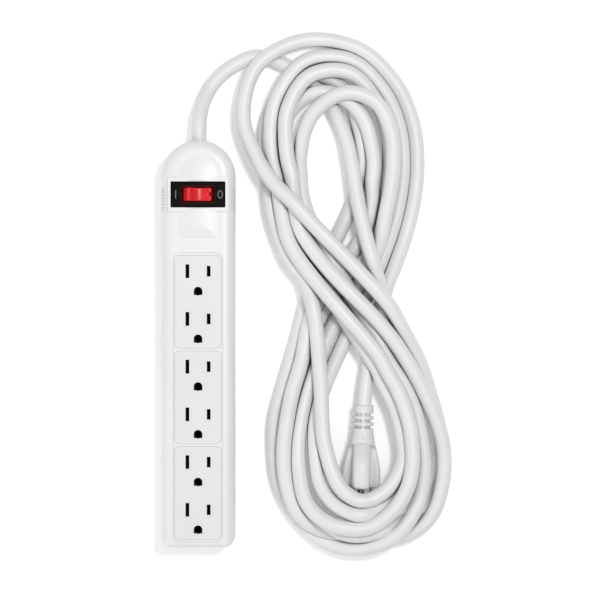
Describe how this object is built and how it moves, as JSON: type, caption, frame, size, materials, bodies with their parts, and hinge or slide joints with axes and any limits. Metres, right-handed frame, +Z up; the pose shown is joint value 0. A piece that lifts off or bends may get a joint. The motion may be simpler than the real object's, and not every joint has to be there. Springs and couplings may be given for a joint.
{
  "type": "power strip",
  "caption": "Long white power strip: a row of grounded outlets, a lighted red rocker switch in a black bezel, and a mains lead looped in a figure of eight to a moulded plug.",
  "frame": {"origin": "under the middle of the casing, on the surface that it rests on", "axes": "+Y along the strip towards the cord end, +X across it to the right seen from above, +Z up from the surface"},
  "size_m": [0.1754, 0.316, 0.0354],
  "materials": {
    "casing": "satin moulded",
    "outlet_face": "satin moulded",
    "switch_black": "satin black",
    "rocker_red": "glossy translucent",
    "insulator": "matte",
    "contact_brass": "rolled",
    "spring_steel": "drawn wire",
    "lamp_glass": "clear",
    "resistor_body": "matte",
    "wire_black": "satin",
    "wire_white": "satin",
    "wire_green": "satin",
    "cord_jacket": "soft satin",
    "plug_moulding": "satin moulded",
    "plug_metal": "nickel plated",
    "screw_steel": "zinc plated"
  },
  "bodies": {
    "root": {"base_housing": "casing", "top_cover": "casing", "outlet_panel_1": "outlet_face", "outlet_panel_2": "outlet_face", "outlet_panel_3": "outlet_face", "contact_carrier": "insulator", "live_bus_bar": "contact_brass", "neutral_bus_bar": "contact_brass", "ground_bus_bar": "contact_brass", "switch_housing": "switch_black", "line_terminal": "contact_brass", "load_terminal": "contact_brass", "lamp_terminal": "contact_brass", "lamp_resistor": "resistor_body", "line_wire": "wire_black", "load_wire": "wire_black", "neutral_wire": "wire_white", "ground_wire": "wire_green", "lamp_wire": "wire_white", "cord_strain_relief": "cord_jacket", "cord_clamp": "casing", "clamp_screws": "screw_steel", "housing_screws": "screw_steel", "cord_lead": "cord_jacket", "cord_bundle": "cord_jacket", "cord_tail": "cord_jacket", "plug_body": "plug_moulding", "plug_strain_relief": "plug_moulding", "plug_live_blade": "plug_metal", "plug_neutral_blade": "plug_metal", "plug_ground_pin": "plug_metal"},
    "rocker_body": {"rocker": "rocker_red", "plunger": "insulator", "plunger_spring": "spring_steel", "indicator_lamp": "lamp_glass"},
    "lever": {"contact_lever": "contact_brass"}
  },
  "joints": [
    {"name": "rocker_pivot", "type": "hinge", "parent": "root", "child": "rocker_body", "pos_m": [0, 0.089, 0.029], "axis": [0, -1, 0], "range_deg": [0, 24]},
    {"name": "lever_pivot", "type": "hinge", "parent": "root", "child": "lever", "pos_m": [0, 0.089, 0.0176], "axis": [0, -1, 0], "range_deg": [-16.5, 0]}
  ],
  "couplings": [
    {"joint": "lever_pivot", "follows": "rocker_pivot", "ratio": -0.66667}
  ]
}
